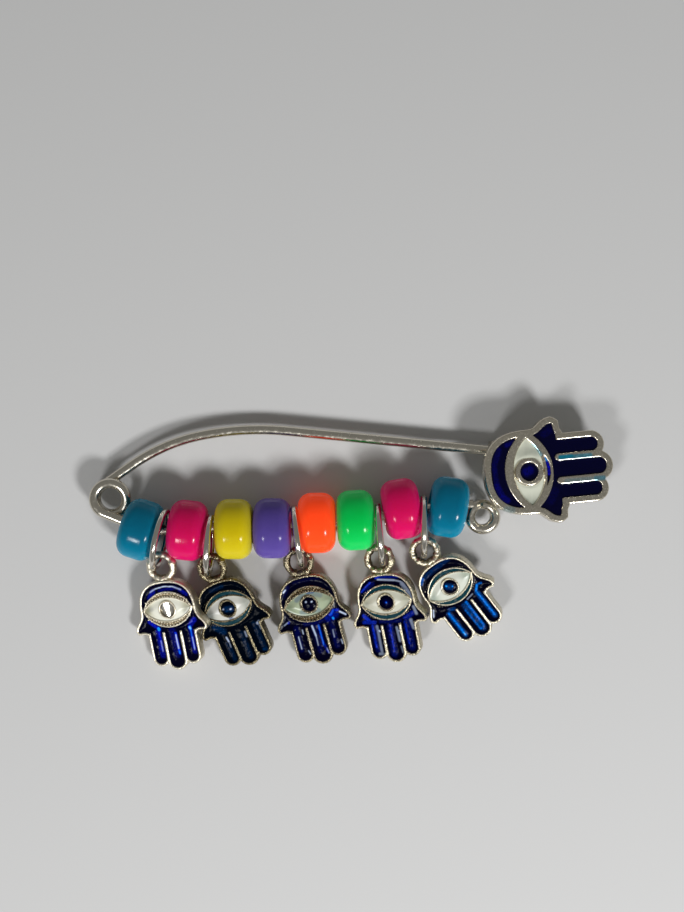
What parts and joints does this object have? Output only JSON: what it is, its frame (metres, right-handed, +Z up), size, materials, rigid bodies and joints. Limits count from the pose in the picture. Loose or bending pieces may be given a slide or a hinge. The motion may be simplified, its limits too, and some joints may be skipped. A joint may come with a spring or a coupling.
{
  "type": "charm safety pin",
  "caption": "Safety pin brooch with a spring coil, an enamel hand head with an eye, and a bar threaded with barrel beads and small enamel hand charms on jump rings",
  "frame": {"origin": "on the table, under the middle of the bounding box of the pin as it lies flat", "axes": "+X runs along the bar from the spring coil to the hand-shaped head, +Y from the charms to the pin arm, +Z up from the table"},
  "size_m": [0.0782, 0.038, 0.0095],
  "materials": {
    "nickel_wire": "polished nickel plating",
    "ring_metal": "polished nickel plating",
    "cast_metal": "cast and plated, slightly warm",
    "navy_enamel": "glossy soft enamel",
    "blue_enamel": "glossy soft enamel over bright metal",
    "white_enamel": "glossy soft enamel",
    "teal_plastic": "glossy moulded plastic",
    "pink_plastic": "glossy moulded plastic",
    "yellow_plastic": "glossy moulded plastic",
    "purple_plastic": "glossy moulded plastic",
    "orange_plastic": "glossy moulded plastic",
    "green_plastic": "glossy moulded plastic"
  },
  "bodies": {
    "frame_with_beads": {"pin_frame": "nickel_wire", "head_blue_enamel": "navy_enamel", "head_white_enamel": "white_enamel", "bead_1_teal": "teal_plastic", "bead_2_pink": "pink_plastic", "bead_3_yellow": "yellow_plastic", "bead_4_purple": "purple_plastic", "bead_5_orange": "orange_plastic", "bead_6_green": "green_plastic", "bead_7_pink": "pink_plastic", "bead_8_teal": "teal_plastic", "jump_ring_1": "ring_metal", "jump_ring_2": "ring_metal", "jump_ring_3": "ring_metal", "jump_ring_4": "ring_metal", "jump_ring_5": "ring_metal", "charm_1": "cast_metal", "charm_1_blue_enamel": "blue_enamel", "charm_1_white_enamel": "white_enamel", "charm_2": "cast_metal", "charm_2_blue_enamel": "blue_enamel", "charm_2_white_enamel": "white_enamel", "charm_3": "cast_metal", "charm_3_blue_enamel": "blue_enamel", "charm_3_white_enamel": "white_enamel", "charm_4": "cast_metal", "charm_4_blue_enamel": "blue_enamel", "charm_4_white_enamel": "white_enamel", "charm_5": "cast_metal", "charm_5_blue_enamel": "blue_enamel", "charm_5_white_enamel": "white_enamel"},
    "arm": {"pin_arm": "nickel_wire"}
  },
  "joints": [
    {"name": "arm_spring", "type": "hinge", "parent": "frame_with_beads", "child": "arm", "pos_m": [-0.03602, 0.00673, 0.00215], "axis": [0, 0, 1], "range_deg": [-3, 0], "stiffness_Nm_per_rad": 0.2, "springref_deg": 14.9}
  ]
}
